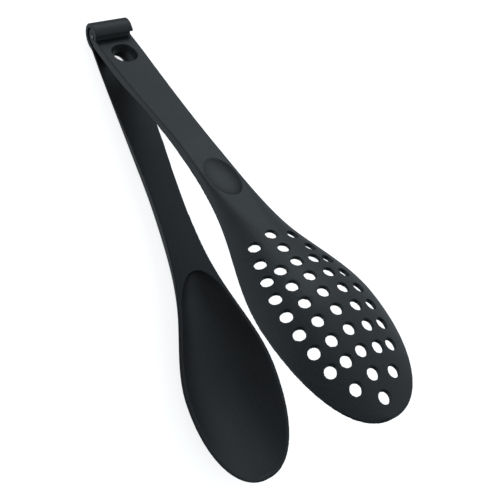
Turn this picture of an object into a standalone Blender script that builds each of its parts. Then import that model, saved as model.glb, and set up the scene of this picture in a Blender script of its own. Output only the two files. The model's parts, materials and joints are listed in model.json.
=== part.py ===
"""Spring loaded kitchen tongs: a solid spoon arm and a slotted spoon arm on a rolled hinge.

Each arm is described by its station s, the distance from the hinge axis towards the spoon
tip, and its height h, the distance outwards from the plane where the closed arms meet. The
hinge axis lies a little outwards of that plane, on the slotted arm's side.
"""
import math

import bmesh
import bpy
from mathutils import Matrix, Vector

REAR = -1
FRONT = 1

# Hinge, metres and radians
OPEN_ANGLE = math.radians(31.4)
AXIS_OFFSET = 0.0015
ROLL_RADIUS = 0.0084
BORE_RADIUS = 0.0056
ROLL_HALF_WIDTH = 0.0127
ROLL_END_ROUNDING = 0.0005
ROLL_ROOT_HEIGHT = 0.0050
LIP_ANGLE = math.radians(55)
KNUCKLE_RADIUS = 0.0053
KNUCKLE_HALF_WIDTH = 0.0119
SPRING_BAY_RADIUS = 0.0038
SPRING_BAY_HALF_WIDTH = 0.0048
RUNNING_GAP = 0.0003
PIN_RADIUS = 0.0015
PIN_HALF_LENGTH = 0.0122

# Torsion spring
WIRE_RADIUS = 0.00055
COIL_RADIUS = 0.0027
COIL_PITCH = 0.0013
COIL_FULL_TURNS = 3
POINTS_PER_TURN = 16
LEG_REACH = 0.0093
REAR_LEG_DROP = 0.0012
FRONT_LEG_HEIGHT = -0.0012
GROOVE_START = 0.0030

# Arms, with heights above the shallow wave that both of them follow
ARM_LENGTH = 0.2963
ARM_START = {REAR: 0.0040, FRONT: 0.0033}
ARM_HALF_WIDTH_AT_HINGE = {REAR: 0.0125, FRONT: 0.0128}
ARM_HALF_WIDTH_AT_NECK = 0.0097
NARROWING = 1.2
ARM_HEIGHT_AT_HINGE = {REAR: 0.0052, FRONT: 0.0020}
ARM_HEIGHT_AT_NECK = 0.0062
HEIGHT_GROWTH = 2.4
STRAIGHT_START = 0.020
NECK_STATION = 0.107
NECK_BLEND = 20
EDGE_ROUNDING = 0.0019
ROOT_FILLET = 0.006
LEAST_EDGE = 0.0004

# The wave of the inner faces, and how far each one is shifted beside the hinge, where the
# slotted arm is the deeper one and the solid arm makes room for it
WAVE_AT_HINGE = 0.0003
WAVE_START = 0.060
WAVE_AT_DIP = -0.0008
DIP_STATION = 0.180
WAVE_AT_BOWL = 0.0019
WAVE_AT_TIP = -0.0019
ROOT_SHIFT = {REAR: 0.0030, FRONT: -0.0034}
ROOT_SHIFT_START = 0.035
ROOT_SHIFT_END = 0.080

# Spoon bowl
BOWL_STATION = 0.2355
BOWL_HALF_WIDTH = 0.0330
BOWL_HEIGHT = 0.0144
WIDTH_SWELL = 0.0596
HEIGHT_SWELL = 0.0639
TIP_ROUNDNESS = 2.21
TIP_FALL = 1.39
TIP_HEIGHT = 0.0025
TIP_FLAT = 0.00004
LIP_HEIGHT = 0.0012
DOME_START = 0.120
DOME_END = 0.185
DOME_FULLNESS = 2.3
WALL = 0.0024
RECESS_START = 0.1585
RECESS_RISE = 0.020

# Holes
DRAIN_RADIUS = 0.0033
DRAIN_PITCH = 0.0111
CENTRE_ROW_START = 0.1871
CENTRE_ROW_COUNT = 10
INNER_ROW_START = 0.2106
INNER_ROW_COUNT = 6
INNER_ROW_SPREAD = 0.0116
INNER_ROW_PINCH = 2.2
OUTER_ROW_START = 0.1904
OUTER_ROW_COUNT = 8
OUTER_ROW_PITCH = 0.0109
OUTER_ROW_INSET = 0.0112
TIP_PAIR = (0.0114, 0.2785)
DRAIN_CUTTER_DEPTH = 0.026
EYE_STATION = {REAR: 0.0178, FRONT: 0.0207}
EYE_RADIUS = {REAR: 0.0058, FRONT: 0.0074}
EYE_STRETCH = {REAR: 0.0002, FRONT: 0.0028}
DIMPLE_STATION = 0.1400
DIMPLE_SIZE = (0.0088, 0.0154, 0.0021)
DIMPLE_RISE = 0.0008

CUT_BELOW = -0.006
CUT_ABOVE = 0.012


def clear_scene():
    for item in list(bpy.data.objects):
        bpy.data.objects.remove(item, do_unlink=True)


def new_collection(name):
    collection = bpy.data.collections.new(name)
    bpy.context.scene.collection.children.link(collection)
    return collection


def new_material(name, colour, roughness, metallic):
    material = bpy.data.materials.new(name)
    material.use_nodes = True
    shader = material.node_tree.nodes["Principled BSDF"]
    shader.inputs["Base Color"].default_value = (*colour, 1.0)
    shader.inputs["Roughness"].default_value = roughness
    shader.inputs["Metallic"].default_value = metallic
    return material


def mix(low, high, share):
    return low + (high - low) * share


def ease(value, start, end):
    share = min(max((value - start) / (end - start), 0.0), 1.0)
    return share * share * (3 - 2 * share)


def soft_limit(share):
    """The share, turning smoothly to 1 where it would pass it."""
    low = math.exp(-NECK_BLEND * share) + math.exp(-NECK_BLEND)
    return max(-math.log(low) / NECK_BLEND, 0.0)


def swell_share(s, swell):
    """How far the neck has swelled into the spoon at this station, 0 to 1."""
    return math.exp(-((s - BOWL_STATION) / swell) ** 2)


def tip_share(s):
    """How far the spoon has run from its widest station to its tip, 0 to 1."""
    return (s - BOWL_STATION) / (ARM_LENGTH - BOWL_STATION)


def round_end(share, roundness=TIP_ROUNDNESS):
    return max(1 - share ** roundness, 0.0) ** (1 / roundness)


def half_width(s, side):
    if s > BOWL_STATION:
        return BOWL_HALF_WIDTH * round_end(tip_share(s))
    along = max((s - STRAIGHT_START) / (NECK_STATION - STRAIGHT_START), 0.0)
    along = soft_limit(along) ** NARROWING
    arm = mix(ARM_HALF_WIDTH_AT_HINGE[side], ARM_HALF_WIDTH_AT_NECK, along)
    return mix(arm, BOWL_HALF_WIDTH, swell_share(s, WIDTH_SWELL))


def wave(s):
    """The common wave: a dip before the bowl, a rise beside it and a dip at the tip."""
    if s > BOWL_STATION:
        return mix(WAVE_AT_BOWL, WAVE_AT_TIP, tip_share(s) ** 2)
    if s > DIP_STATION:
        return mix(WAVE_AT_DIP, WAVE_AT_BOWL, ease(s, DIP_STATION, BOWL_STATION))
    return mix(WAVE_AT_HINGE, WAVE_AT_DIP, ease(s, WAVE_START, DIP_STATION))


def rim(s, side):
    """Height of the inner face."""
    return wave(s) + mix(ROOT_SHIFT[side], 0, ease(s, ROOT_SHIFT_START, ROOT_SHIFT_END))


def crest(s, side):
    """Height of the outer face along the middle of the arm."""
    if s > BOWL_STATION:
        fall = (1 - tip_share(s) ** 2) ** TIP_FALL
        return wave(s) + mix(TIP_HEIGHT, BOWL_HEIGHT, fall)
    along = soft_limit(s / NECK_STATION) ** HEIGHT_GROWTH
    arm = mix(ARM_HEIGHT_AT_HINGE[side], ARM_HEIGHT_AT_NECK, along)
    return wave(s) + mix(arm, BOWL_HEIGHT, swell_share(s, HEIGHT_SWELL))


def root_crest(s, side):
    """The outer face, with the fillet that runs up into the roll on the rear arm."""
    level = crest(s, side)
    if side == FRONT or s > STRAIGHT_START:
        return level
    centre_height = level + AXIS_OFFSET + ROOT_FILLET
    fillet_end = math.sqrt((ROLL_RADIUS + ROOT_FILLET) ** 2 - centre_height ** 2)
    if s >= fillet_end:
        return level
    sag = math.sqrt(ROOT_FILLET ** 2 - (fillet_end - s) ** 2)
    return centre_height - sag - AXIS_OFFSET


def about_axis(x, s, height, side):
    """A point whose height is measured from the hinge axis."""
    return Vector((x, -s, side * height))


def place(x, s, h, side):
    """A point whose height is measured from the plane where the closed arms meet."""
    return Vector((x, -s, side * h - AXIS_OFFSET))


def rounded_section(s, side, corner_steps=8):
    """A slab with rounded outer edges that turns into a dome along the spoon."""
    width = half_width(s, side)
    height = root_crest(s, side)
    low = rim(s, side)
    dome = ease(s, DOME_START, DOME_END)
    corner_x = mix(EDGE_ROUNDING, width - LEAST_EDGE, dome)
    corner_h = mix(EDGE_ROUNDING, height - low - LIP_HEIGHT, dome)
    corner_h = min(corner_h, height - low - LEAST_EDGE)
    right = [(width, low)]
    for step in range(corner_steps + 1):
        angle = 0.5 * math.pi * step / corner_steps
        x = width - corner_x * (1 - math.cos(angle))
        fall = mix(1 - math.sin(angle), math.cos(angle) ** DOME_FULLNESS, dome)
        right.append((x, height - corner_h * fall))
    left = [(-x, h) for x, h in reversed(right)]
    return [place(x, s, h, side) for x, h in right + left]


def recess_section(s, side, arc_steps=12):
    """The inside of the spoon, a dome a wall thickness under the outer one."""
    arch = round_end(1 - min((s - RECESS_START) / RECESS_RISE, 1.0))
    width = (half_width(s, side) - WALL) * arch
    low = rim(s, side)
    depth = (crest(s, side) - WALL - low) * arch
    points = [(width, CUT_BELOW)]
    for step in range(arc_steps + 1):
        across = math.cos(math.pi * step / arc_steps)
        points.append((width * across, low + depth * (1 - abs(across) ** DOME_FULLNESS)))
    points.append((-width, CUT_BELOW))
    return [place(x, s, h, side) for x, h in points]


def stations(start, end, count, crowd_end=False):
    """Stations from start to end, if asked closer together towards the end."""
    shares = [step / count for step in range(count + 1)]
    if crowd_end:
        shares = [math.sin(0.5 * math.pi * share) for share in shares]
    return [mix(start, end, share) for share in shares]


def new_object(name, mesh, collection, material=None):
    item = bpy.data.objects.new(name, mesh)
    collection.objects.link(item)
    if material:
        mesh.materials.append(material)
    return item


def loft(name, rings, collection, material=None):
    """A closed skin over rings that all have the same number of points."""
    shape = bmesh.new()
    loops = [[shape.verts.new(point) for point in ring] for ring in rings]
    for ring, following in zip(loops, loops[1:]):
        for index, corner in enumerate(ring):
            after = (index + 1) % len(ring)
            shape.faces.new((corner, ring[after], following[after], following[index]))
    shape.faces.new(loops[0])
    shape.faces.new(loops[-1])
    bmesh.ops.recalc_face_normals(shape, faces=shape.faces)
    mesh = bpy.data.meshes.new(name)
    shape.to_mesh(mesh)
    shape.free()
    return new_object(name, mesh, collection, material)


def prism(name, outline, x_low, x_high, side, collection):
    """An outline of (s, height above the hinge axis) points carried across the arm."""
    rings = [[about_axis(x, s, height, side) for s, height in outline]
             for x in (x_low, x_high)]
    return loft(name, rings, collection)


def cylinder_across(name, radius, x_low, x_high, collection, material=None, sides=40):
    shape = bmesh.new()
    bmesh.ops.create_cone(shape, cap_ends=True, segments=sides, radius1=radius,
                          radius2=radius, depth=x_high - x_low)
    turn = Matrix.Rotation(0.5 * math.pi, 4, "Y")
    shift = Matrix.Translation(((x_low + x_high) / 2, 0, 0))
    bmesh.ops.transform(shape, matrix=shift @ turn, verts=shape.verts)
    mesh = bpy.data.meshes.new(name)
    shape.to_mesh(mesh)
    shape.free()
    return new_object(name, mesh, collection, material)


def combine(target, other, operation):
    """Join or cut with the other object, which becomes a hidden wire helper."""
    other.hide_render = True
    other.display_type = "WIRE"
    modifier = target.modifiers.new(other.name, "BOOLEAN")
    modifier.operation = operation
    modifier.object = other


def arm_blank(name, side, collection, material):
    """The arm without its hinge and holes."""
    along = stations(ARM_START[side], NECK_STATION, 9)
    along += stations(NECK_STATION, BOWL_STATION, 22)[1:]
    along += stations(BOWL_STATION, ARM_LENGTH - TIP_FLAT, 16, crowd_end=True)[1:]
    rings = [rounded_section(s, side) for s in along]
    return loft(name, rings, collection, material)


def cut_recess(arm, side, helpers):
    """Hollow the inside of the spoon."""
    arch_end = RECESS_START + RECESS_RISE
    arch = stations(arch_end, RECESS_START, 9, crowd_end=True)[:-1]
    along = list(reversed(arch))
    along += stations(arch_end, BOWL_STATION, 12)[1:]
    along += stations(BOWL_STATION, ARM_LENGTH - WALL, 14, crowd_end=True)[1:]
    rings = [recess_section(s, side) for s in along]
    combine(arm, loft(arm.name + "_recess", rings, helpers), "DIFFERENCE")


def cut_hanging_eye(arm, side, helpers, steps=10):
    """The hole that the tongs hang from, a little oblong on the slotted arm."""
    radius = EYE_RADIUS[side]
    outline = []
    for end, first in ((1, 0.0), (-1, math.pi)):
        for step in range(steps + 1):
            angle = first + math.pi * step / steps
            middle = EYE_STATION[side] + end * EYE_STRETCH[side] / 2
            outline.append((radius * math.cos(angle), middle + radius * math.sin(angle)))
    rings = [[place(x, s, h, side) for x, s in outline] for h in (CUT_BELOW, CUT_ABOVE)]
    combine(arm, loft(arm.name + "_eye", rings, helpers), "DIFFERENCE")


def cut_thumb_dimple(arm, side, helpers):
    """A shallow oval rest in the outer face, just above the spoon."""
    shape = bmesh.new()
    bmesh.ops.create_uvsphere(shape, u_segments=28, v_segments=14, radius=1)
    bmesh.ops.scale(shape, vec=DIMPLE_SIZE, verts=shape.verts)
    middle = place(0, DIMPLE_STATION, crest(DIMPLE_STATION, side) + DIMPLE_RISE, side)
    bmesh.ops.translate(shape, vec=middle, verts=shape.verts)
    mesh = bpy.data.meshes.new(arm.name + "_dimple")
    shape.to_mesh(mesh)
    shape.free()
    combine(arm, new_object(mesh.name, mesh, helpers), "DIFFERENCE")


def drain_hole_places():
    """Centres (x, s) of the drain holes: a middle row, two inner and two outer rows."""
    places = [(0.0, CENTRE_ROW_START + i * DRAIN_PITCH) for i in range(CENTRE_ROW_COUNT)]
    pairs = [TIP_PAIR]
    for i in range(INNER_ROW_COUNT):
        s = INNER_ROW_START + i * DRAIN_PITCH
        pairs.append((INNER_ROW_SPREAD - INNER_ROW_PINCH * (s - BOWL_STATION) ** 2, s))
    for i in range(OUTER_ROW_COUNT):
        s = OUTER_ROW_START + i * OUTER_ROW_PITCH
        pairs.append((half_width(s, FRONT) - OUTER_ROW_INSET, s))
    for x, s in pairs:
        places += [(x, s), (-x, s)]
    return places


def cut_drain_holes(arm, helpers):
    shape = bmesh.new()
    for x, s in drain_hole_places():
        middle = place(x, s, DRAIN_CUTTER_DEPTH / 2 + CUT_BELOW, FRONT)
        bmesh.ops.create_cone(shape, cap_ends=True, segments=14, radius1=DRAIN_RADIUS,
                              radius2=DRAIN_RADIUS, depth=DRAIN_CUTTER_DEPTH,
                              matrix=Matrix.Translation(middle))
    mesh = bpy.data.meshes.new("drain_holes")
    shape.to_mesh(mesh)
    shape.free()
    combine(arm, new_object("drain_holes", mesh, helpers), "DIFFERENCE")


def cut_leg_groove(arm, name, x, leg_height, helpers):
    """The slot in the slotted arm's inner face that gives room to a spring leg."""
    end = LEG_REACH + 2 * RUNNING_GAP
    floor = leg_height + WIRE_RADIUS + RUNNING_GAP
    outline = [(GROOVE_START, CUT_BELOW), (end, CUT_BELOW), (end, floor),
               (GROOVE_START, floor)]
    low = x - WIRE_RADIUS - RUNNING_GAP
    high = x + WIRE_RADIUS + RUNNING_GAP
    combine(arm, prism(arm.name + name, outline, low, high, FRONT, helpers), "DIFFERENCE")


def roll_outline(steps=44):
    """Side view of the roll: it leaves the rear arm, passes over the hinge and ends in a lip.

    The lip stops short of the slotted arm, at an angle from the normal of its open outer face.
    """
    face_normal = 1.5 * math.pi - OPEN_ANGLE

    def arc(radius):
        first = math.asin(ROLL_ROOT_HEIGHT / radius)
        last = face_normal + LIP_ANGLE
        angles = stations(first, last, steps)
        return [(radius * math.cos(angle), radius * math.sin(angle)) for angle in angles]

    return arc(ROLL_RADIUS) + list(reversed(arc(BORE_RADIUS)))


def round_roll_ends(roll):
    """Soften the outer end edges of the roll."""
    shape = bmesh.new()
    shape.from_mesh(roll.data)
    corners = [edge for edge in shape.edges
               if all(corner.co.yz.length > ROLL_RADIUS - 1e-5 for corner in edge.verts)
               and abs(edge.verts[0].co.x - edge.verts[1].co.x) < 1e-6]
    bmesh.ops.bevel(shape, geom=corners, offset=ROLL_END_ROUNDING, segments=2, profile=0.5,
                    affect="EDGES")
    shape.to_mesh(roll.data)
    shape.free()


def make_rear_arm(parts, helpers, material):
    arm = arm_blank("rear_arm", REAR, parts, material)
    roll = prism("roll", roll_outline(), -ROLL_HALF_WIDTH, ROLL_HALF_WIDTH, REAR, helpers)
    round_roll_ends(roll)
    combine(arm, roll, "UNION")
    cut_recess(arm, REAR, helpers)
    cut_hanging_eye(arm, REAR, helpers)
    cut_thumb_dimple(arm, REAR, helpers)
    return arm


def cut_spring_bay(arm, helpers, steps=16):
    """The room for the coil, open towards the solid arm and covered by the knuckle above."""
    outline = [(-SPRING_BAY_RADIUS, -ROLL_RADIUS)]
    for step in range(steps + 1):
        angle = math.pi * (1 - step / steps)
        outline.append((SPRING_BAY_RADIUS * math.cos(angle), SPRING_BAY_RADIUS * math.sin(angle)))
    outline += [(BORE_RADIUS, -RUNNING_GAP), (BORE_RADIUS, -ROLL_RADIUS)]
    bay = prism("spring_bay", outline, -SPRING_BAY_HALF_WIDTH, SPRING_BAY_HALF_WIDTH, FRONT,
                helpers)
    combine(arm, bay, "DIFFERENCE")


def make_front_arm(parts, helpers, material):
    arm = arm_blank("front_arm", FRONT, parts, material)
    knuckle = cylinder_across("knuckle", KNUCKLE_RADIUS, -KNUCKLE_HALF_WIDTH,
                              KNUCKLE_HALF_WIDTH, helpers)
    combine(arm, knuckle, "UNION")
    cut_spring_bay(arm, helpers)
    bore = cylinder_across("pin_bore", PIN_RADIUS + RUNNING_GAP, -ROLL_HALF_WIDTH,
                           ROLL_HALF_WIDTH, helpers, sides=24)
    combine(arm, bore, "DIFFERENCE")
    cut_recess(arm, FRONT, helpers)
    cut_hanging_eye(arm, FRONT, helpers)
    cut_thumb_dimple(arm, FRONT, helpers)
    cut_drain_holes(arm, helpers)
    cut_leg_groove(arm, "_leg_groove", coil_half_length(), FRONT_LEG_HEIGHT, helpers)
    cut_leg_groove(arm, "_leg_clearance", -coil_half_length(), -COIL_RADIUS, helpers)
    return arm


def coil_angles():
    """Start and end of the coil, measured from +Y towards +Z."""
    front_leg = math.pi - OPEN_ANGLE - math.asin(FRONT_LEG_HEIGHT / COIL_RADIUS)
    return -0.5 * math.pi, front_leg + COIL_FULL_TURNS * 2 * math.pi


def coil_half_length():
    first, last = coil_angles()
    return COIL_PITCH * (last - first) / (4 * math.pi)


def make_spring(parts, material):
    """A torsion spring: a rear leg, the coil around the pin, and a front leg."""
    first, last = coil_angles()
    half = coil_half_length()
    steps = round(POINTS_PER_TURN * (last - first) / (2 * math.pi))
    points = [Vector((-half, -LEG_REACH, -COIL_RADIUS - REAR_LEG_DROP)),
              Vector((-half, -LEG_REACH / 2, -COIL_RADIUS - REAR_LEG_DROP / 2))]
    for step in range(steps + 1):
        share = step / steps
        angle = mix(first, last, share)
        x = mix(-half, half, share)
        points.append(Vector((x, COIL_RADIUS * math.cos(angle), COIL_RADIUS * math.sin(angle))))
    leg = Vector((0, -math.cos(OPEN_ANGLE), math.sin(OPEN_ANGLE))) * (LEG_REACH - COIL_RADIUS)
    points += [points[-1] + leg / 2, points[-1] + leg]
    curve = bpy.data.curves.new("torsion_spring", "CURVE")
    curve.dimensions = "3D"
    curve.bevel_depth = WIRE_RADIUS
    curve.bevel_resolution = 2
    curve.use_fill_caps = True
    spline = curve.splines.new("POLY")
    spline.points.add(len(points) - 1)
    for target, point in zip(spline.points, points):
        target.co = (*point, 1.0)
    curve.materials.append(material)
    spring = bpy.data.objects.new("torsion_spring", curve)
    parts.objects.link(spring)
    return spring


def make_pivot(name, parent, collection):
    pivot = bpy.data.objects.new(name, None)
    collection.objects.link(pivot)
    pivot.parent = parent
    return pivot


def shade(item):
    if item.type == "MESH":
        item.data.shade_smooth()
        item.data.set_sharp_from_angle(angle=math.radians(35))


def lean_angle():
    """Slope of the rear arm when the tongs lie on the roll and the back of the solid spoon."""
    slopes = [(crest(s, REAR) + AXIS_OFFSET - ROLL_RADIUS) / s
              for s in stations(DOME_END, ARM_LENGTH, 200)]
    return math.asin(max(slopes))


def main():
    clear_scene()
    parts = new_collection("kitchen_tongs")
    helpers = new_collection("cutters")
    nylon = new_material("black_nylon", (0.012, 0.013, 0.014), 0.42, 0.0)
    slotted_nylon = new_material("black_nylon_slotted", (0.014, 0.015, 0.016), 0.42, 0.0)
    steel = new_material("pin_steel", (0.60, 0.60, 0.58), 0.28, 1.0)
    spring_steel = new_material("spring_steel", (0.45, 0.45, 0.44), 0.32, 1.0)

    stand = make_pivot("hinge_axis", None, parts)
    opening = make_pivot("front_arm_axis", stand, parts)
    rear_arm = make_rear_arm(parts, helpers, nylon)
    front_arm = make_front_arm(parts, helpers, slotted_nylon)
    pin = cylinder_across("hinge_pin", PIN_RADIUS, -PIN_HALF_LENGTH, PIN_HALF_LENGTH, parts,
                          steel, sides=24)
    spring = make_spring(parts, spring_steel)
    for item in (rear_arm, spring):
        item.parent = stand
    for item in (front_arm, pin):
        item.parent = opening
    for helper in helpers.objects:
        moves = helper.name.startswith(("front", "knuckle", "spring_bay", "pin_bore", "drain"))
        helper.parent = opening if moves else stand
    for item in (rear_arm, front_arm, pin):
        shade(item)

    stand.rotation_euler.x = -lean_angle()
    reach = ARM_LENGTH * math.cos(lean_angle())
    stand.location = (0, (reach - ROLL_RADIUS) / 2, ROLL_RADIUS)
    opening.rotation_euler.x = -OPEN_ANGLE


main()
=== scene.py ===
import json
import math

import bmesh
import bpy
from mathutils import Matrix, Vector


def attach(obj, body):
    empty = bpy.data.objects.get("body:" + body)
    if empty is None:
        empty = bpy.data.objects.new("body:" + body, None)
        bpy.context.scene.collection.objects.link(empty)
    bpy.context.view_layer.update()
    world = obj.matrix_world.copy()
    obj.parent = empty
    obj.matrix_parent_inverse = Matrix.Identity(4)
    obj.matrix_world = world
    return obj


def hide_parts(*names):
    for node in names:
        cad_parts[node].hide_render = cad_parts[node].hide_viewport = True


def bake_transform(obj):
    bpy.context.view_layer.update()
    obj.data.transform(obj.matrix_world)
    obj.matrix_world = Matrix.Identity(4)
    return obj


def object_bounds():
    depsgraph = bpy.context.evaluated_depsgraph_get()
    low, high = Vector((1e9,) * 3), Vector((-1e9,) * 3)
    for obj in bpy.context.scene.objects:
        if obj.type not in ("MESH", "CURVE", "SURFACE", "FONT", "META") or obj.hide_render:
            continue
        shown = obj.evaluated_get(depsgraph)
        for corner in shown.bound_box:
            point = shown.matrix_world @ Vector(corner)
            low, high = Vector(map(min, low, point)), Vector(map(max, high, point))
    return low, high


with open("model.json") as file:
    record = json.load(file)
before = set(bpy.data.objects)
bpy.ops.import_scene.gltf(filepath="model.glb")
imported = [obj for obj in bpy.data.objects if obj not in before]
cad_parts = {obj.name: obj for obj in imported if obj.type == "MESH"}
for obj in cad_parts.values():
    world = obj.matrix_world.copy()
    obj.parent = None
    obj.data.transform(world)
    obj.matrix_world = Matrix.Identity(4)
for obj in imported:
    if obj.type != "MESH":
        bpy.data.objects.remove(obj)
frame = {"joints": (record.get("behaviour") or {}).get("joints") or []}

CAD_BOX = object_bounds()
JOINT = frame["joints"][0]
HINGE = Vector(JOINT["pos_m"])
REAR = -1
FRONT = 1

# Hinge, metres and radians
OPEN_ANGLE = math.radians(31.4)
AXIS_OFFSET = 0.0015
ROLL_RADIUS = 0.0084
BORE_RADIUS = 0.0056
ROLL_HALF_WIDTH = 0.0127
ROLL_ROOT_HEIGHT = 0.0050
LIP_ANGLE = math.radians(55)
KNUCKLE_RADIUS = 0.0053
KNUCKLE_HALF_WIDTH = 0.0119
SPRING_BAY_RADIUS = 0.0038
SPRING_BAY_HALF_WIDTH = 0.0048
PIN_BORE_RADIUS = 0.0018
PIN_RADIUS = 0.0015
PIN_HALF_LENGTH = 0.0122
PIN_CHAMFER = 0.0004
GAP = 0.0003

# Torsion spring
WIRE_RADIUS = 0.00055
COIL_RADIUS = 0.0027
COIL_PITCH = 0.0013
COIL_FULL_TURNS = 3
LEG_REACH = 0.0093
REAR_LEG_DROP = 0.0012
FRONT_LEG_HEIGHT = -0.0012
GROOVE_START = 0.0030

# Arms
ARM_LENGTH = 0.2963
ARM_START = {REAR: 0.0040, FRONT: 0.0033}
ARM_HALF_WIDTH_AT_HINGE = {REAR: 0.0125, FRONT: 0.0128}
ARM_HALF_WIDTH_AT_NECK = 0.0097
NARROWING = 1.2
ARM_HEIGHT_AT_HINGE = {REAR: 0.0052, FRONT: 0.0020}
ARM_HEIGHT_AT_NECK = 0.0062
HEIGHT_GROWTH = 2.4
STRAIGHT_START = 0.020
NECK_STATION = 0.107
NECK_BLEND = 20
EDGE_ROUNDING = 0.0011
ROOT_FILLET = 0.006
LEAST_EDGE = 0.0004
WAVE_AT_HINGE = 0.0003
WAVE_START = 0.060
WAVE_AT_DIP = -0.0008
DIP_STATION = 0.180
WAVE_AT_BOWL = 0.0019
WAVE_AT_TIP = -0.0019
ROOT_SHIFT = {REAR: 0.0030, FRONT: -0.0034}
ROOT_SHIFT_START = 0.035
ROOT_SHIFT_END = 0.080

# Spoon bowls
BOWL_STATION = 0.2355
BOWL_HALF_WIDTH = 0.0330
BOWL_HEIGHT = 0.0144
WIDTH_SWELL = 0.0596
HEIGHT_SWELL = 0.0639
TIP_ROUNDNESS = 2.21
TIP_FALL = 1.39
TIP_HEIGHT = 0.0025
TIP_FLAT = 0.00004
LIP_HEIGHT = 0.0012
DOME_START = 0.120
DOME_END = 0.185
DOME_FULLNESS = 2.3
WALL = 0.0024
RECESS_START = 0.1585
RECESS_RISE = 0.020

# Holes and the thumb dimple
DRAIN_RADIUS = 0.0033
DRAIN_EDGE_ALLOWANCE = 0.00022
DRAIN_PITCH = 0.0111
CENTRE_ROW_START = 0.1871
CENTRE_ROW_COUNT = 10
INNER_ROW_START = 0.2106
INNER_ROW_COUNT = 6
INNER_ROW_SPREAD = 0.0116
INNER_ROW_PINCH = 2.2
OUTER_ROW_START = 0.1904
OUTER_ROW_COUNT = 8
OUTER_ROW_PITCH = 0.0109
OUTER_ROW_INSET = 0.0112
TIP_PAIR = (0.0114, 0.2785)
DRAIN_CUTTER_DEPTH = 0.026
EYE_STATION = {REAR: 0.0178, FRONT: 0.0207}
EYE_RADIUS = {REAR: 0.0058, FRONT: 0.0074}
EYE_STRETCH = {REAR: 0.0002, FRONT: 0.0028}
EYE_DRAFT = {REAR: 0.0, FRONT: 0.30}
DIMPLE_STATION = 0.1386
DIMPLE_SIZE = (0.0092, 0.0154, 0.0030)
DIMPLE_RISE = 0.0008
CUT_BELOW = -0.006
CUT_ABOVE = 0.012

# The moulded surface: how fine the skin is, how much its edges are softened, what is kept of it
SKIN_SIZE = 0.0004
SOFTENING_STEPS = 2
SKIN_SHARE = 0.46

# Camera, from the hinge, and its axes
CAMERA_FROM_HINGE = Vector((-0.2041, -0.1473, 0.4575))
CAMERA_RIGHT = Vector((0.828639, -0.318642, 0.460244))
CAMERA_UP = Vector((0.288576, 0.947671, 0.136541))
CAMERA_LENS = 56.746
CAMERA_SENSOR = 36
CAMERA_NEAR = 0.01

# Studio: the glow of the walls as (direction, cosine where it starts, strength), and one softbox
FLOOR_SIZE = 12
FLOOR_DROP = 0.0002
FLOOR_GLOW = 0.80
LIGHT_COLOUR = (0.84, 0.94, 1.0)
ROOM_GLOW = 0.08
WALLS = (
    ((0.40, 0.80, 0.40), 0.35, 0.36),
    ((0.9, 0.1, 0.25), 0.3, 0.22),
    ((0.3, 0.0, 0.95), 0.2, 0.26),
    ((0.85, -0.35, -0.45), 0.55, 0.24),
    ((-0.85, 0.25, -0.40), 0.30, 0.50),
    ((-0.80, 0.58, 0.00), 0.70, 0.34),
)
SOFTBOX_FROM_HINGE = Vector((0.5, 1.0, 0.45))
SOFTBOX_AIM_FROM_HINGE = Vector((0, -0.15, 0))
SOFTBOX_SIZE = (0.8, 0.4)
SOFTBOX_ENERGY = 1.5

# Materials: dark, light and rubbed nylon, and the tones of the steel. The solid arm's nylon is a
# darker copy of the slotted arm's, painted shade for the arm that lies under the other; the
# slotted arm's lighter, bluer copy is painted light on the arm that faces the lamps.
SOLID_ARM_SHADED_TONES = ((0.0050, 0.0052, 0.0068), (0.0150, 0.0160, 0.0190), (0.035, 0.037, 0.042))
SLOTTED_ARM_LIT_TONES = ((0.0055, 0.0066, 0.0078), (0.0170, 0.0198, 0.0222), (0.04, 0.043, 0.047))
PIN_TONE = (0.22, 0.22, 0.23)
SPRING_TONE = (0.50, 0.50, 0.49)
STAIN_SHADE = 0.55


def mix(low, high, share):
    return low + (high - low) * share


def ease(value, start, end):
    share = min(max((value - start) / (end - start), 0.0), 1.0)
    return share * share * (3 - 2 * share)


def soft_limit(share):
    """The share, turning smoothly to 1 where it would pass it."""
    low = math.exp(-NECK_BLEND * share) + math.exp(-NECK_BLEND)
    return max(-math.log(low) / NECK_BLEND, 0.0)


def swell_share(s, swell):
    return math.exp(-((s - BOWL_STATION) / swell) ** 2)


def tip_share(s):
    return (s - BOWL_STATION) / (ARM_LENGTH - BOWL_STATION)


def round_end(share):
    return max(1 - share ** TIP_ROUNDNESS, 0.0) ** (1 / TIP_ROUNDNESS)


def half_width(s, side):
    if s > BOWL_STATION:
        return BOWL_HALF_WIDTH * round_end(tip_share(s))
    along = max((s - STRAIGHT_START) / (NECK_STATION - STRAIGHT_START), 0.0)
    along = soft_limit(along) ** NARROWING
    arm = mix(ARM_HALF_WIDTH_AT_HINGE[side], ARM_HALF_WIDTH_AT_NECK, along)
    return mix(arm, BOWL_HALF_WIDTH, swell_share(s, WIDTH_SWELL))


def wave(s):
    if s > BOWL_STATION:
        return mix(WAVE_AT_BOWL, WAVE_AT_TIP, tip_share(s) ** 2)
    if s > DIP_STATION:
        return mix(WAVE_AT_DIP, WAVE_AT_BOWL, ease(s, DIP_STATION, BOWL_STATION))
    return mix(WAVE_AT_HINGE, WAVE_AT_DIP, ease(s, WAVE_START, DIP_STATION))


def rim(s, side):
    """Height of the inner face."""
    return wave(s) + mix(ROOT_SHIFT[side], 0, ease(s, ROOT_SHIFT_START, ROOT_SHIFT_END))


def crest(s, side):
    """Height of the outer face along the middle of the arm."""
    if s > BOWL_STATION:
        fall = (1 - tip_share(s) ** 2) ** TIP_FALL
        return wave(s) + mix(TIP_HEIGHT, BOWL_HEIGHT, fall)
    along = soft_limit(s / NECK_STATION) ** HEIGHT_GROWTH
    arm = mix(ARM_HEIGHT_AT_HINGE[side], ARM_HEIGHT_AT_NECK, along)
    return wave(s) + mix(arm, BOWL_HEIGHT, swell_share(s, HEIGHT_SWELL))


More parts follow.
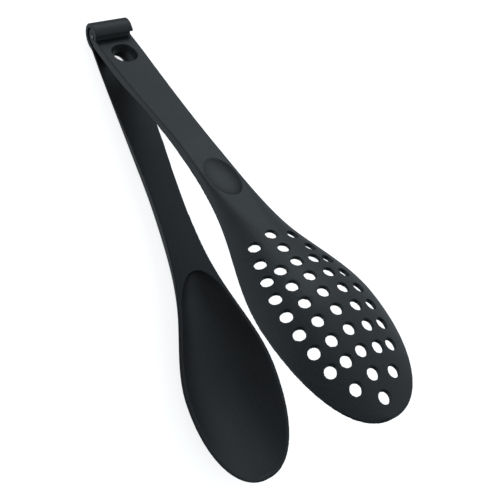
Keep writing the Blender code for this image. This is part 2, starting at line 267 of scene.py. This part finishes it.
def root_crest(s, side):
    """The outer face, with the fillet that runs up into the roll on the rear arm."""
    level = crest(s, side)
    if side == FRONT or s > STRAIGHT_START:
        return level
    centre_height = level + AXIS_OFFSET + ROOT_FILLET
    fillet_end = math.sqrt((ROLL_RADIUS + ROOT_FILLET) ** 2 - centre_height ** 2)
    if s >= fillet_end:
        return level
    sag = math.sqrt(ROOT_FILLET ** 2 - (fillet_end - s) ** 2)
    return centre_height - sag - AXIS_OFFSET


def lean_angle():
    """Slope of the rear arm as the tongs lie on the roll and the back of the solid spoon."""
    slopes = [(crest(s, REAR) + AXIS_OFFSET - ROLL_RADIUS) / s
              for s in stations(DOME_END, ARM_LENGTH, 200)]
    return math.asin(max(slopes))


def stations(start, end, count, crowd_end=False):
    shares = [step / count for step in range(count + 1)]
    if crowd_end:
        shares = [math.sin(0.5 * math.pi * share) for share in shares]
    return [mix(start, end, share) for share in shares]


def about_axis(x, s, height, side):
    return Vector((x, -s, side * height))


def place(x, s, h, side):
    return Vector((x, -s, side * h - AXIS_OFFSET))


def arm_matrix(side):
    """From an arm's own axes to the row frame."""
    stand = Matrix.Translation(HINGE) @ Matrix.Rotation(-lean_angle(), 4, "X")
    if side == FRONT:
        return stand @ Matrix.Rotation(-OPEN_ANGLE, 4, "X")
    return stand


def new_object(name, data):
    item = bpy.data.objects.new(name, data)
    bpy.context.scene.collection.objects.link(item)
    return item


def from_bmesh(name, shape):
    mesh = bpy.data.meshes.new(name)
    shape.to_mesh(mesh)
    shape.free()
    return new_object(name, mesh)


def loft(name, rings):
    """A closed skin over rings that all have the same number of points."""
    shape = bmesh.new()
    loops = [[shape.verts.new(point) for point in ring] for ring in rings]
    for ring, following in zip(loops, loops[1:]):
        for index, corner in enumerate(ring):
            after = (index + 1) % len(ring)
            shape.faces.new((corner, ring[after], following[after], following[index]))
    shape.faces.new(loops[0])
    shape.faces.new(loops[-1])
    bmesh.ops.recalc_face_normals(shape, faces=shape.faces)
    return from_bmesh(name, shape)


def prism(name, outline, x_low, x_high, side):
    rings = [[about_axis(x, s, height, side) for s, height in outline]
             for x in (x_low, x_high)]
    return loft(name, rings)


def cylinder_across(name, radius, half_length, sides=96):
    shape = bmesh.new()
    bmesh.ops.create_cone(shape, cap_ends=True, segments=sides, radius1=radius,
                          radius2=radius, depth=2 * half_length)
    bmesh.ops.transform(shape, matrix=Matrix.Rotation(0.5 * math.pi, 4, "Y"),
                        verts=shape.verts)
    return from_bmesh(name, shape)


def settle(item):
    """Replace the mesh by what its modifiers make of it."""
    graph = bpy.context.evaluated_depsgraph_get()
    mesh = bpy.data.meshes.new_from_object(item.evaluated_get(graph), depsgraph=graph)
    item.modifiers.clear()
    item.data = mesh


def combine(target, other, operation="DIFFERENCE"):
    modifier = target.modifiers.new(other.name, "BOOLEAN")
    modifier.operation = operation
    modifier.object = other
    settle(target)
    bpy.data.objects.remove(other)


def rounded_section(s, side, corner_steps=16):
    """A slab with rounded outer edges that turns into a dome along the spoon."""
    width = half_width(s, side)
    height = root_crest(s, side)
    low = rim(s, side)
    dome = ease(s, DOME_START, DOME_END)
    corner_x = mix(EDGE_ROUNDING, width - LEAST_EDGE, dome)
    corner_h = mix(EDGE_ROUNDING, height - low - LIP_HEIGHT, dome)
    corner_h = min(corner_h, height - low - LEAST_EDGE)
    right = [(width, low)]
    for step in range(corner_steps + 1):
        angle = 0.5 * math.pi * step / corner_steps
        x = width - corner_x * (1 - math.cos(angle))
        fall = mix(1 - math.sin(angle), math.cos(angle) ** DOME_FULLNESS, dome)
        right.append((x, height - corner_h * fall))
    left = [(-x, h) for x, h in reversed(right)]
    return [place(x, s, h, side) for x, h in right + left]


def recess_section(s, side, arc_steps=36):
    """The inside of the spoon, a dome a wall thickness under the outer one."""
    arch = round_end(1 - min((s - RECESS_START) / RECESS_RISE, 1.0))
    width = (half_width(s, side) - WALL) * arch
    low = rim(s, side)
    depth = (crest(s, side) - WALL - low) * arch
    points = [(width, CUT_BELOW)]
    for step in range(arc_steps + 1):
        across = math.cos(math.pi * step / arc_steps)
        points.append((width * across, low + depth * (1 - abs(across) ** DOME_FULLNESS)))
    points.append((-width, CUT_BELOW))
    return [place(x, s, h, side) for x, h in points]


def arm_blank(name, side):
    along = stations(ARM_START[side], NECK_STATION, 60)
    along += stations(NECK_STATION, BOWL_STATION, 90)[1:]
    along += stations(BOWL_STATION, ARM_LENGTH - TIP_FLAT, 60, crowd_end=True)[1:]
    return loft(name, [rounded_section(s, side) for s in along])


def cut_recess(arm, side):
    arch_end = RECESS_START + RECESS_RISE
    arch = stations(arch_end, RECESS_START, 24, crowd_end=True)[:-1]
    along = list(reversed(arch))
    along += stations(arch_end, BOWL_STATION, 40)[1:]
    along += stations(BOWL_STATION, ARM_LENGTH - WALL, 48, crowd_end=True)[1:]
    combine(arm, loft("recess", [recess_section(s, side) for s in along]))


def cut_hanging_eye(arm, side, steps=32):
    """Cut the eye, which narrows from the outer face inwards by its draft."""
    rings = []
    for h in (CUT_BELOW, CUT_ABOVE):
        depth = crest(EYE_STATION[side], side) - h
        radius = EYE_RADIUS[side] - EYE_DRAFT[side] * depth
        ring = []
        for end, first in ((1, 0.0), (-1, math.pi)):
            for step in range(steps + 1):
                angle = first + math.pi * step / steps
                middle = EYE_STATION[side] + end * EYE_STRETCH[side] / 2
                ring.append(place(radius * math.cos(angle),
                                  middle + radius * math.sin(angle), h, side))
        rings.append(ring)
    combine(arm, loft("eye", rings))


def cut_thumb_dimple(arm, side):
    shape = bmesh.new()
    bmesh.ops.create_uvsphere(shape, u_segments=72, v_segments=36, radius=1)
    bmesh.ops.scale(shape, vec=DIMPLE_SIZE, verts=shape.verts)
    middle = place(0, DIMPLE_STATION, crest(DIMPLE_STATION, side) + DIMPLE_RISE, side)
    bmesh.ops.translate(shape, vec=middle, verts=shape.verts)
    combine(arm, from_bmesh("dimple", shape))


def drain_hole_places():
    """Centres (x, s) of the drain holes: a middle row, two inner and two outer rows."""
    places = [(0.0, CENTRE_ROW_START + i * DRAIN_PITCH) for i in range(CENTRE_ROW_COUNT)]
    pairs = [TIP_PAIR]
    for i in range(INNER_ROW_COUNT):
        s = INNER_ROW_START + i * DRAIN_PITCH
        pairs.append((INNER_ROW_SPREAD - INNER_ROW_PINCH * (s - BOWL_STATION) ** 2, s))
    for i in range(OUTER_ROW_COUNT):
        s = OUTER_ROW_START + i * OUTER_ROW_PITCH
        pairs.append((half_width(s, FRONT) - OUTER_ROW_INSET, s))
    for x, s in pairs:
        places += [(x, s), (-x, s)]
    return places


def cut_drain_holes(arm):
    """Cut the holes a little small, because softening their edges opens them."""
    radius = DRAIN_RADIUS - DRAIN_EDGE_ALLOWANCE
    shape = bmesh.new()
    for x, s in drain_hole_places():
        middle = place(x, s, DRAIN_CUTTER_DEPTH / 2 + CUT_BELOW, FRONT)
        bmesh.ops.create_cone(shape, cap_ends=True, segments=32, radius1=radius,
                              radius2=radius, depth=DRAIN_CUTTER_DEPTH,
                              matrix=Matrix.Translation(middle))
    combine(arm, from_bmesh("drain_holes", shape))


def cut_leg_groove(arm, x, leg_height):
    end = LEG_REACH + 2 * GAP
    floor = leg_height + WIRE_RADIUS + GAP
    outline = [(GROOVE_START, CUT_BELOW), (end, CUT_BELOW), (end, floor),
               (GROOVE_START, floor)]
    reach = WIRE_RADIUS + GAP
    combine(arm, prism("groove", outline, x - reach, x + reach, FRONT))


def roll_outline(steps=120):
    """Side view of the roll: it leaves the rear arm, passes over the hinge and ends in a lip."""
    face_normal = 1.5 * math.pi - OPEN_ANGLE

    def arc(radius):
        first = math.asin(ROLL_ROOT_HEIGHT / radius)
        angles = stations(first, face_normal + LIP_ANGLE, steps)
        return [(radius * math.cos(angle), radius * math.sin(angle)) for angle in angles]

    return arc(ROLL_RADIUS) + list(reversed(arc(BORE_RADIUS)))


def cut_spring_bay(arm, steps=32):
    outline = [(-SPRING_BAY_RADIUS, -ROLL_RADIUS)]
    for step in range(steps + 1):
        angle = math.pi * (1 - step / steps)
        outline.append((SPRING_BAY_RADIUS * math.cos(angle), SPRING_BAY_RADIUS * math.sin(angle)))
    outline += [(BORE_RADIUS, -GAP), (BORE_RADIUS, -ROLL_RADIUS)]
    combine(arm, prism("spring_bay", outline, -SPRING_BAY_HALF_WIDTH, SPRING_BAY_HALF_WIDTH,
                       FRONT))


def soften(item):
    """Turn sharp cuts into the small radii of a moulding, with a fine skin."""
    remesh = item.modifiers.new("skin", "REMESH")
    remesh.mode = "VOXEL"
    remesh.voxel_size = SKIN_SIZE
    smooth = item.modifiers.new("soften", "SMOOTH")
    smooth.factor = 0.5
    smooth.iterations = SOFTENING_STEPS
    thin = item.modifiers.new("thin", "DECIMATE")
    thin.ratio = SKIN_SHARE
    settle(item)
    item.data.shade_smooth()


def dress(item, side, body, node, material):
    """Set a finished piece in the row frame, with its body, CAD node and material."""
    item.data.transform(arm_matrix(side))
    item.data.materials.clear()
    item.data.materials.append(material)
    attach(item, body)
    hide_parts(node)


def make_rear_arm(material):
    arm = arm_blank("solid_spoon_arm", REAR)
    combine(arm, prism("roll", roll_outline(), -ROLL_HALF_WIDTH, ROLL_HALF_WIDTH, REAR), "UNION")
    cut_recess(arm, REAR)
    cut_hanging_eye(arm, REAR)
    cut_thumb_dimple(arm, REAR)
    soften(arm)
    dress(arm, REAR, "solid_arm", "rear_arm", material)


def make_front_arm(material):
    arm = arm_blank("slotted_spoon_arm", FRONT)
    combine(arm, cylinder_across("knuckle", KNUCKLE_RADIUS, KNUCKLE_HALF_WIDTH), "UNION")
    cut_spring_bay(arm)
    combine(arm, cylinder_across("pin_bore", PIN_BORE_RADIUS, ROLL_HALF_WIDTH, sides=48))
    cut_recess(arm, FRONT)
    cut_hanging_eye(arm, FRONT)
    cut_thumb_dimple(arm, FRONT)
    cut_drain_holes(arm)
    cut_leg_groove(arm, coil_half_length(), FRONT_LEG_HEIGHT)
    cut_leg_groove(arm, -coil_half_length(), -COIL_RADIUS)
    soften(arm)
    dress(arm, FRONT, "slotted_arm", "front_arm", material)


def make_pin(material):
    """A straight pin with chamfered ends."""
    pin = cylinder_across("steel_pin", PIN_RADIUS, PIN_HALF_LENGTH, sides=48)
    shape = bmesh.new()
    shape.from_mesh(pin.data)
    ends = [edge for edge in shape.edges
            if abs(edge.verts[0].co.x - edge.verts[1].co.x) < GAP]
    bmesh.ops.bevel(shape, geom=ends, offset=PIN_CHAMFER, segments=3, profile=0.5,
                    affect="EDGES")
    shape.to_mesh(pin.data)
    shape.free()
    pin.data.shade_smooth()
    pin.data.set_sharp_from_angle(angle=math.radians(50))
    dress(pin, FRONT, "slotted_arm", "hinge_pin", material)


def coil_angles():
    front_leg = math.pi - OPEN_ANGLE - math.asin(FRONT_LEG_HEIGHT / COIL_RADIUS)
    return -0.5 * math.pi, front_leg + COIL_FULL_TURNS * 2 * math.pi


def coil_half_length():
    first, last = coil_angles()
    return COIL_PITCH * (last - first) / (4 * math.pi)


def make_spring(material, steps=150):
    """The torsion spring: a leg on the solid arm, the coil, and a leg in the slotted arm."""
    first, last = coil_angles()
    half = coil_half_length()
    points = [Vector((-half, -LEG_REACH * share, -COIL_RADIUS - REAR_LEG_DROP * share))
              for share in (1, 0.5)]
    for share in stations(0, 1, steps):
        angle = mix(first, last, share)
        points.append(Vector((mix(-half, half, share), COIL_RADIUS * math.cos(angle),
                              COIL_RADIUS * math.sin(angle))))
    leg = Vector((0, -math.cos(OPEN_ANGLE), math.sin(OPEN_ANGLE))) * (LEG_REACH - COIL_RADIUS)
    points += [points[-1] + leg / 2, points[-1] + leg]
    curve = bpy.data.curves.new("wound_spring", "CURVE")
    curve.dimensions = "3D"
    curve.bevel_depth = WIRE_RADIUS
    curve.bevel_resolution = 4
    curve.use_fill_caps = True
    spline = curve.splines.new("POLY")
    spline.points.add(len(points) - 1)
    for target, point in zip(spline.points, points):
        target.co = (*point, 1.0)
    guide = new_object("spring_guide", curve)
    graph = bpy.context.evaluated_depsgraph_get()
    mesh = bpy.data.meshes.new_from_object(guide.evaluated_get(graph), depsgraph=graph)
    bpy.data.objects.remove(guide)
    shape = bmesh.new()
    shape.from_mesh(mesh)
    bmesh.ops.remove_doubles(shape, verts=shape.verts, dist=1e-6)
    spring = from_bmesh("wound_spring", shape)
    spring.data.transform(arm_matrix(REAR))
    spring.data.materials.append(material)
    spring.data.shade_smooth()
    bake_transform(spring)
    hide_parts("torsion_spring")


class Shader:
    """A small helper that adds nodes to one material."""

    def __init__(self, name):
        self.material = bpy.data.materials.new(name)
        self.material.use_nodes = True
        self.tree = self.material.node_tree
        self.surface = self.tree.nodes["Principled BSDF"]
        self.where = self.add("ShaderNodeTexCoord").outputs["Object"]

    def add(self, kind, **settings):
        node = self.tree.nodes.new(kind)
        for key, value in settings.items():
            setattr(node, key, value)
        return node

    def link(self, source, target):
        self.tree.links.new(source, target)

    def noise(self, scale, detail=2.0, stretch=(1, 1, 1)):
        """A noise field; a stretch under 1 draws it out along that axis."""
        mapping = self.add("ShaderNodeMapping")
        mapping.inputs["Scale"].default_value = stretch
        self.link(self.where, mapping.inputs["Vector"])
        texture = self.add("ShaderNodeTexNoise")
        texture.inputs["Scale"].default_value = scale
        texture.inputs["Detail"].default_value = detail
        self.link(mapping.outputs["Vector"], texture.inputs["Vector"])
        return texture.outputs["Fac"]

    def spread(self, value, low, high, to_low, to_high):
        node = self.add("ShaderNodeMapRange")
        for socket, number in (("From Min", low), ("From Max", high), ("To Min", to_low),
                               ("To Max", to_high)):
            node.inputs[socket].default_value = number
        self.link(value, node.inputs["Value"])
        return node.outputs["Result"]

    def sum(self, first, second, operation="ADD"):
        node = self.add("ShaderNodeMath", operation=operation)
        self.link(first, node.inputs[0])
        if isinstance(second, float):
            node.inputs[1].default_value = second
        else:
            self.link(second, node.inputs[1])
        return node.outputs["Value"]

    def blend(self, share, first, second):
        """A colour between two colours or colour sockets."""
        node = self.add("ShaderNodeMix", data_type="RGBA")
        self.link(share, node.inputs["Factor"])
        for socket, colour in ((node.inputs[6], first), (node.inputs[7], second)):
            if isinstance(colour, tuple):
                socket.default_value = (*colour, 1.0)
            else:
                self.link(colour, socket)
        return node.outputs[2]

    def bump(self, height, strength, distance, under=None):
        node = self.add("ShaderNodeBump")
        node.inputs["Strength"].default_value = strength
        node.inputs["Distance"].default_value = distance
        self.link(height, node.inputs["Height"])
        if under:
            self.link(under, node.inputs["Normal"])
        return node.outputs["Normal"]


def nylon(name, dark, light, worn):
    """Black glass-filled nylon: a fine spark-eroded grain, faint flow marks and rubbed edges."""
    shader = Shader(name)
    edge = shader.spread(shader.add("ShaderNodeNewGeometry").outputs["Pointiness"],
                         0.52, 0.62, 0.0, 1.0)
    patches = shader.noise(34, 4)
    grain = shader.noise(1500, 4)
    flow = shader.noise(420, 3, stretch=(1, 0.06, 0.3))
    rub = shader.spread(shader.noise(900, 2, stretch=(0.9, 0.03, 0.4)), 0.64, 0.72, 0, 0.08)
    speckle = shader.sum(shader.spread(patches, 0.35, 0.65, 0, 0.4),
                         shader.spread(grain, 0.36, 0.64, 0, 0.9))
    tone = shader.blend(speckle, dark, light)
    wear = shader.sum(shader.sum(edge, 0.45, "MULTIPLY"), rub)
    shader.link(shader.blend(wear, tone, worn), shader.surface.inputs["Base Color"])
    rough = shader.sum(shader.spread(patches, 0.3, 0.7, 0.37, 0.45),
                       shader.spread(grain, 0.3, 0.7, -0.04, 0.06))
    rough = shader.sum(rough, shader.sum(edge, -0.05, "MULTIPLY"))
    shader.link(rough, shader.surface.inputs["Roughness"])
    coarse = shader.bump(flow, 0.10, 0.0001)
    shader.link(shader.bump(grain, 0.5, 0.00022, coarse), shader.surface.inputs["Normal"])
    return shader.material


def steel(name, tone, stretch):
    """Drawn steel with fine lines along the wire or pin."""
    shader = Shader(name)
    lines = shader.noise(3000, 3, stretch=stretch)
    stain = shader.spread(shader.noise(500, 3), 0.4, 0.75, 0, 0.5)
    shade = tuple(STAIN_SHADE * channel for channel in tone)
    shader.link(shader.blend(stain, tone, shade), shader.surface.inputs["Base Color"])
    shader.surface.inputs["Metallic"].default_value = 1.0
    shader.link(shader.spread(lines, 0.3, 0.7, 0.22, 0.40), shader.surface.inputs["Roughness"])
    shader.link(shader.bump(lines, 0.2, 0.00005), shader.surface.inputs["Normal"])
    return shader.material


def make_floor():
    """A plain pale floor under the whole object."""
    shader = Shader("pale_floor")
    shader.surface.inputs["Base Color"].default_value = (0.93, 0.93, 0.93, 1)
    shader.surface.inputs["Roughness"].default_value = 0.9
    shader.surface.inputs["Emission Color"].default_value = (1, 1, 1, 1)
    shader.surface.inputs["Emission Strength"].default_value = FLOOR_GLOW
    shape = bmesh.new()
    bmesh.ops.create_grid(shape, x_segments=1, y_segments=1, size=FLOOR_SIZE)
    floor = from_bmesh("floor", shape)
    floor.location.z = CAD_BOX[0][2] - FLOOR_DROP
    floor.data.materials.append(shader.material)
    floor.visible_glossy = False
    floor.visible_diffuse = False


def make_world():
    """A dim studio whose walls glow softly in a few directions."""
    world = bpy.data.worlds.new("studio")
    bpy.context.scene.world = world
    world.use_nodes = True
    nodes, links = world.node_tree.nodes, world.node_tree.links
    where = nodes.new("ShaderNodeTexCoord").outputs["Generated"]
    glow = None
    for direction, start, strength in WALLS:
        facing = nodes.new("ShaderNodeVectorMath")
        facing.operation = "DOT_PRODUCT"
        facing.inputs[1].default_value = Vector(direction).normalized()
        links.new(where, facing.inputs[0])
        fade = nodes.new("ShaderNodeMapRange")
        fade.interpolation_type = "SMOOTHSTEP"
        fade.inputs["From Min"].default_value = start
        fade.inputs["To Max"].default_value = strength
        links.new(facing.outputs["Value"], fade.inputs["Value"])
        total = nodes.new("ShaderNodeMath")
        total.inputs[1].default_value = ROOM_GLOW
        links.new(fade.outputs["Result"], total.inputs[0])
        if glow:
            links.new(glow, total.inputs[1])
        glow = total.outputs["Value"]
    background = nodes["Background"]
    background.inputs["Color"].default_value = (*LIGHT_COLOUR, 1)
    links.new(glow, background.inputs["Strength"])


def make_softbox():
    """A rectangular soft light behind the hinge, turned to a point on the arms."""
    light = bpy.data.lights.new("back_softbox", "AREA")
    light.shape = "RECTANGLE"
    light.size, light.size_y = SOFTBOX_SIZE
    light.energy = SOFTBOX_ENERGY
    light.color = LIGHT_COLOUR
    lamp = new_object("back_softbox", light)
    lamp.location = HINGE + SOFTBOX_FROM_HINGE
    aim = SOFTBOX_AIM_FROM_HINGE - SOFTBOX_FROM_HINGE
    lamp.rotation_euler = aim.to_track_quat("-Z", "Y").to_euler()


def make_camera():
    camera = bpy.data.cameras.new("camera")
    camera.lens = CAMERA_LENS
    camera.sensor_width = CAMERA_SENSOR
    camera.clip_start = CAMERA_NEAR
    holder = new_object("camera", camera)
    right = CAMERA_RIGHT.normalized()
    back = right.cross(CAMERA_UP).normalized()
    axes = Matrix((right, back.cross(right), back)).transposed()
    holder.matrix_world = Matrix.Translation(HINGE + CAMERA_FROM_HINGE) @ axes.to_4x4()
    bpy.context.scene.camera = holder


bpy.context.scene.view_settings.view_transform = "Standard"
make_camera()
make_world()
make_softbox()
make_floor()
# The solid arm takes the darker nylon tones (painted shade), the slotted arm the lighter, bluer
# ones (painted light).
make_rear_arm(nylon("solid_arm_nylon", *SOLID_ARM_SHADED_TONES))
make_front_arm(nylon("slotted_arm_nylon", *SLOTTED_ARM_LIT_TONES))
make_pin(steel("pin_steel", PIN_TONE, (0.03, 1, 1)))
make_spring(steel("spring_steel", SPRING_TONE, (0.3, 1, 1)))
